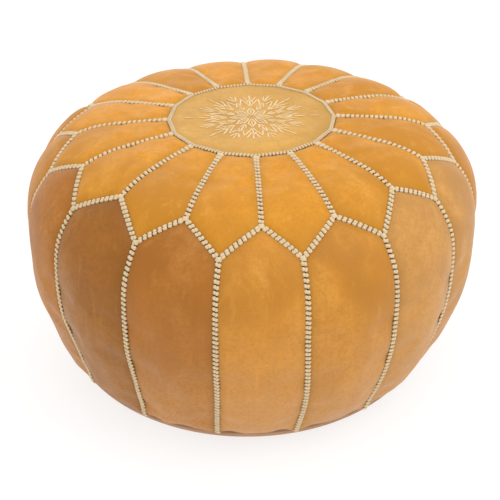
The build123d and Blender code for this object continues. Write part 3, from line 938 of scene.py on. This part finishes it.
def braid_shapes(wide, high, pitch, slant, full=0.90):
    """The strands of one braided stitch: two fat ones side by side that meet over the seam."""
    half = fat_strand("half_strand", wide * 0.66, pitch * full, high * 1.1)
    return [
        (half, 0.05, wide * 0.20, slant, high * 0.26),
        (half, -0.09, -wide * 0.20, -slant, high * 0.20),
    ]


def lay_braid(name, runs, angles, start, end, rng, shapes, pitch, flare=0.0):
    """One seam's braid, from its start to its end less what the knots take."""
    path, normals = seam_path(runs, angles)
    places = path_frames(path, normals, pitch, start, end)
    return lay_strands(name, places, thread("cream"), shapes, rng, flare)


def knot(name, run, angle, shapes, rng):
    """A knot where seams meet: strands crossed over each other."""
    runs = [run - 0.004, run, run + 0.004]
    path, normals = seam_path(runs, [angle] * 3)
    places = path_frames(path, normals, 0.02)
    return lay_strands(name, places, thread("cream"), shapes, rng)


class BraidsOperator(bpy.types.Operator):
    """Lays the braided stitching over every seam, and the knots where seams meet"""

    bl_idname = "pouf.braids"
    bl_label = "Braided seams"

    def execute(self, context):
        rng = random.Random(sizes().seed + 1)
        wide, high, pitch = sizes().braid_width, sizes().braid_height, sizes().bead_pitch
        slanted = braid_shapes(wide, high, pitch, 0.36, 0.80)
        level = braid_shapes(wide, high, pitch, 0.10)
        narrow = braid_shapes(wide * 0.80, high * 0.9, pitch * 0.72, 0.20, 0.78)
        cross = fat_strand("cross_strand", wide * 1.25, 0.0040, high * 1.1)
        knot_shapes = [
            (cross, 0.0, 0.0, 0.65, high * 0.34),
            (cross, 0.0, 0.0, -0.95, high * 0.40),
            (cross, 0.0, 0.0, 0.0, high * 0.22),
        ]
        peak, valley = run_at_radius(PEAK), run_at_radius(VALLEY)
        start = run_at_radius(MEDALLION)
        for index in range(PANELS):
            seam = FIRST_SEAM + index * 2 * HALF
            number = f"{index + 1:02d}"
            runs = np.linspace(start, peak, 24)
            ends = (wide * 0.30, wide * 0.40)
            name = f"petal_braid_{number}"
            piece = lay_braid(name, runs, [seam] * 24, *ends, rng, slanted, pitch, 0.35)
            keep(piece, "cover", "petal_braids")
            for side, word in ((1, "left"), (-1, "right")):
                shares = np.linspace(0, HALF, 24)
                runs = [zigzag_run(share) for share in shares]
                angles = [seam + side * share for share in shares]
                ends = (wide * 0.42, wide * 0.42)
                piece = lay_braid(f"zigzag_braid_{number}_{word}", runs, angles, *ends, rng, level, pitch)
                keep(piece, "cover", "zigzag_braids")
            runs = np.linspace(valley, MERIDIAN_LENGTH, 60)
            angles = [seam + HALF] * 60
            ends = (wide * 0.42, 0.0005)
            piece = lay_braid(f"side_braid_{number}", runs, angles, *ends, rng, slanted, pitch)
            keep(piece, "cover", "side_braids")
            piece = knot(f"peak_knot_{number}", peak, seam, knot_shapes, rng)
            keep(piece, "cover", "peak_knots")
            piece = knot(f"valley_knot_{number}", valley, seam + HALF, knot_shapes, rng)
            keep(piece, "cover", "valley_knots")
        angles = np.linspace(0, 2 * math.pi, 241)
        name = "medallion_braid_ring"
        piece = lay_braid(name, [start] * 241, angles, 0.0, 0.0, rng, narrow, pitch * 0.72)
        keep(piece, "cover", "medallion_braid")
        return {"FINISHED"}


# How far the star's rays reach, as shares of the longest, from the X axis round to the far side
STAR_REACH = (1.0, 0.84, 0.88, 0.78, 0.74, 0.78, 0.88, 0.84)

# Stitches beside a ray, as shares of the star: where each begins and ends along the ray and beside it
LONG_SIDES = (
    (0.05, 0.18, 0.0, 0.055),
    (0.18, 0.32, 0.055, 0.0),
    (0.34, 0.47, 0.0, 0.05),
    (0.47, 0.60, 0.05, 0.0),
    (0.42, 0.60, 0.03, 0.125),
    (0.50, 0.70, 0.02, 0.10),
)
SHORT_SIDES = (
    (0.24, 0.37, 0.0, 0.05),
    (0.37, 0.52, 0.05, 0.0),
    (0.10, 0.24, 0.01, 0.035),
    (0.44, 0.62, 0.03, 0.12),
)
# Stitches along the middle of a ray
LONG_MIDDLE = ((0.10, 0.27), (0.38, 0.56))
SHORT_MIDDLE = ((0.28, 0.47),)


def star_stitches(star):
    """The star's stitches, as start and end in the medallion's plane."""
    found = []

    def stitch(angle, near, far, near_side=0.0, far_side=0.0):
        along = np.array([math.cos(angle), math.sin(angle)])
        beside = np.array([-along[1], along[0]])
        found.append((along * near + beside * near_side, along * far + beside * far_side))

    for index in range(PANELS):
        angle = index * 2 * HALF
        reach = star * STAR_REACH[index % 8]
        long_ray = index % 2 == 0
        for side in (1, -1):
            for near, far, near_side, far_side in LONG_SIDES if long_ray else SHORT_SIDES:
                stitch(angle, near * star, far * star, side * near_side * star, side * far_side * star)
            if not long_ray:
                stitch(angle, 0.55 * star, 0.92 * reach, side * 0.012 * star, side * 0.07 * star)
        for near, far in LONG_MIDDLE if long_ray else SHORT_MIDDLE:
            stitch(angle, near * star, far * star)
        if not long_ray:
            stitch(angle, 0.54 * star, reach)
            continue
        stitch(angle, 0.58 * star, max(0.74 * star, 0.8 * reach))
        if reach > 0.8 * star:
            stitch(angle, reach - 0.17 * star, reach)
    return found


class EmbroideryOperator(bpy.types.Operator):
    """Stitches the star on the medallion"""

    bl_idname = "pouf.embroidery"
    bl_label = "Embroidered star"

    def execute(self, context):
        rng = random.Random(sizes().seed + 2)
        unit, unit_faces = fat_strand("satin_stitch", 1.0, 1.0, 1.0)
        stitches = []
        for start, end in star_stitches(sizes().star):
            length = np.linalg.norm(end - start)
            along = (end - start) / length
            beside = np.array([-along[1], along[0]])
            width = 0.0016 * rng.uniform(0.8, 1.25)
            shape = unit * np.array([length * 0.98, width, 0.0009])
            flat = (start + end) / 2 + np.outer(shape[:, 0], along) + np.outer(shape[:, 1], beside)
            level = medallion_level(np.linalg.norm(flat, axis=1))
            points = np.column_stack([flat, level + shape[:, 2] + 0.00035])
            stitches.append((points, unit_faces, 0.35 + shape[:, 2] / 0.0009))
        star = joined("medallion_star", stitches, thread("gold"), settle=True)
        keep(star, "cover", "medallion_embroidery")
        return {"FINISHED"}


# Base, zip and filling


def paint_node(name, material):
    """A CAD node keeps its shape and takes a material."""
    mesh = NODES[name].data
    mesh.materials.clear()
    mesh.materials.append(material)


class BaseOperator(bpy.types.Operator):
    """Finishes the two halves of the base and the thread that sews them"""

    bl_idname = "pouf.base"
    bl_label = "Base"

    def execute(self, context):
        # The last number is the painted shadow just under the hem.
        leather = full_grain("base_leather", tuple(colours().russet), 1.0, 0.0, 5.0, 0.9)
        for name in ("base_left", "base_right"):
            paint_node(name, leather)
        for name in ("base_stitching", "hem_thread"):
            paint_node(name, thread("sewing"))
        return {"FINISHED"}


class ZipOperator(bpy.types.Operator):
    """Finishes the zip's tapes, teeth, stops, slider and pull"""

    bl_idname = "pouf.zip"
    bl_label = "Zip"

    def execute(self, context):
        tape = woven_tape("zip_tape_weave", (0.10, 0.055, 0.03))
        brass = worn_brass("zip_brass")
        for name in NODES:
            if name.startswith("zip_tape"):
                paint_node(name, tape)
            elif name.startswith("zip_"):
                paint_node(name, brass)
        return {"FINISHED"}


def spun_body(name, depth, floor, dish):
    """A closed round body under the cover at a depth, spun from its half outline."""
    outline = []
    for run in np.linspace(0, MERIDIAN_LENGTH, 60):
        radius, height, out, up = meridian(run)
        outline.append((max(0.0, radius - out * depth), max(floor, height - up * depth)))
    for turn in np.linspace(math.asin((HEEL - HEM) / HEEL), math.pi / 2, 8)[1:-1]:
        deep = HEEL - depth
        outline.append((HEEL_CENTRE + deep * math.cos(turn), max(floor, HEEL - deep * math.sin(turn))))
    outline[0] = (0.0, outline[0][1])
    outline += [(HEEL_CENTRE - 0.012, floor), (0.165, dish), (0.08, dish), (0.0, dish)]
    body = spun_object(name, outline, 64)
    body.data.vertices.foreach_set("co", settled(read_points(body.data)).ravel())
    smooth(body)
    return body


class FillingOperator(bpy.types.Operator):
    """Makes the cotton liner and the stuffing inside it"""

    bl_idname = "pouf.filling"
    bl_label = "Liner and stuffing"

    def execute(self, context):
        slider_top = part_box("zip_slider")[1].z
        liner = spun_body("liner_bag_cotton", 0.0075, 0.0072, slider_top + 0.0008)
        liner.data.materials.append(plain_weave("liner_cotton", (0.78, 0.73, 0.62), 700.0))
        keep(liner, "cover", "liner_bag")
        stuffing = spun_body("stuffing_fibre", 0.0095, 0.0095, slider_top + 0.0030)
        stuffing.data.materials.append(plain_weave("stuffing_fibre", (0.82, 0.80, 0.75), 180.0))
        keep(stuffing, "cover", "stuffing")
        return {"FINISHED"}


# Stage

CAMERA_AZIMUTH = math.radians(-2.85)
CAMERA_ELEVATION = math.radians(33.8)
CAMERA_DISTANCE = 1.61082
CAMERA_LENS = 90.9  # millimetres, on a sensor 36 wide
# How far above and left of its target the camera aims, as shares of its distance
AIM_ABOVE = 0.024485
AIM_LEFT = 0.00103
CAMERA_TARGET = Vector((TILT, 0.0, 0.081))


def soft_light(name, place, aim, size, power):
    """A square soft light turned towards a point."""
    data = bpy.data.lights.new(name, "AREA")
    data.size = size
    data.energy = power
    lamp = bpy.data.objects.new(name, data)
    bpy.context.scene.collection.objects.link(lamp)
    lamp.location = place
    lamp.rotation_euler = (Vector(aim) - Vector(place)).to_track_quat("-Z", "Y").to_euler()


class StageOperator(bpy.types.Operator):
    """Sets the floor, the lights and the camera"""

    bl_idname = "pouf.stage"
    bl_label = "Stage"

    def execute(self, context):
        clear_selection()
        bpy.ops.mesh.primitive_plane_add(size=60.0, location=(0, 0, -0.0006))
        floor = context.object
        floor.name = floor.data.name = "floor"
        paint = Recipe("pale_floor")
        shade = paint.blend(paint.limits(paint.cloud(3.0), 0.3, 0.7), (0.26, 0.26, 0.26), (0.28, 0.28, 0.28))
        glow = {"Emission_Color": (1.0, 1.0, 1.0, 1.0), "Emission_Strength": 0.76}
        floor.data.materials.append(paint.finish(shade, 0.9, **glow))
        world = bpy.data.worlds.new("studio")
        context.scene.world = world
        world.use_nodes = True
        sky = world.node_tree.nodes["Background"].inputs
        sky["Color"].default_value = (1.0, 1.0, 1.0, 1.0)
        sky["Strength"].default_value = 0.95
        soft_light("key", (1.6, -0.9, 2.2), (0, 0, 0.15), 1.6, 15.0)
        soft_light("top", (0.1, -0.2, 2.6), (0, 0, 0.2), 1.8, 9.0)
        soft_light("back", (-0.6, 2.2, 1.6), (0, 0, 0.2), 1.8, 9.0)
        data = bpy.data.cameras.new("camera")
        camera = bpy.data.objects.new("camera", data)
        context.scene.collection.objects.link(camera)
        data.sensor_width = 36.0
        data.lens = CAMERA_LENS
        turn, rise = CAMERA_AZIMUTH, CAMERA_ELEVATION
        back = Vector((math.sin(turn) * math.cos(rise), -math.cos(turn) * math.cos(rise), math.sin(rise)))
        right = Vector((math.cos(turn), math.sin(turn), 0.0))
        up = back.cross(right)
        eye = CAMERA_TARGET + back * CAMERA_DISTANCE
        aim = CAMERA_TARGET + (up * AIM_ABOVE - right * AIM_LEFT) * CAMERA_DISTANCE
        camera.location = eye
        camera.rotation_euler = (aim - eye).to_track_quat("-Z", "Y").to_euler()
        context.scene.camera = camera
        context.scene.view_settings.view_transform = "Standard"
        return {"FINISHED"}


OPERATORS = (
    StageOperator,
    PetalsOperator,
    SidePanelsOperator,
    MedallionOperator,
    EmbroideryOperator,
    BraidsOperator,
    BaseOperator,
    ZipOperator,
    FillingOperator,
)


class PoufPanel(bpy.types.Panel):
    """Lists the pouf's operators, sizes and colours"""

    bl_idname = "VIEW3D_PT_pouf"
    bl_label = "Leather pouf"
    bl_space_type = "VIEW_3D"
    bl_region_type = "UI"
    bl_category = "Pouf"

    def draw(self, context):
        for group in (context.scene.pouf_sizes, context.scene.pouf_colours):
            box = self.layout.box()
            for name in group.__annotations__:
                box.prop(group, name)
        for operator in OPERATORS:
            self.layout.operator(operator.bl_idname)


CLASSES = (PoufSizes, PoufColours, *OPERATORS, PoufPanel)


def register():
    """Adds the classes and the scene's settings."""
    for item in CLASSES:
        bpy.utils.register_class(item)
    bpy.types.Scene.pouf_sizes = bpy.props.PointerProperty(type=PoufSizes)
    bpy.types.Scene.pouf_colours = bpy.props.PointerProperty(type=PoufColours)


def unregister():
    """Takes them away again."""
    del bpy.types.Scene.pouf_colours
    del bpy.types.Scene.pouf_sizes
    for item in reversed(CLASSES):
        bpy.utils.unregister_class(item)


def main():
    """Makes the whole pouf."""
    register()
    for operator in OPERATORS:
        family, name = operator.bl_idname.split(".")
        getattr(getattr(bpy.ops, family), name)()


if __name__ == "__main__":
    main()
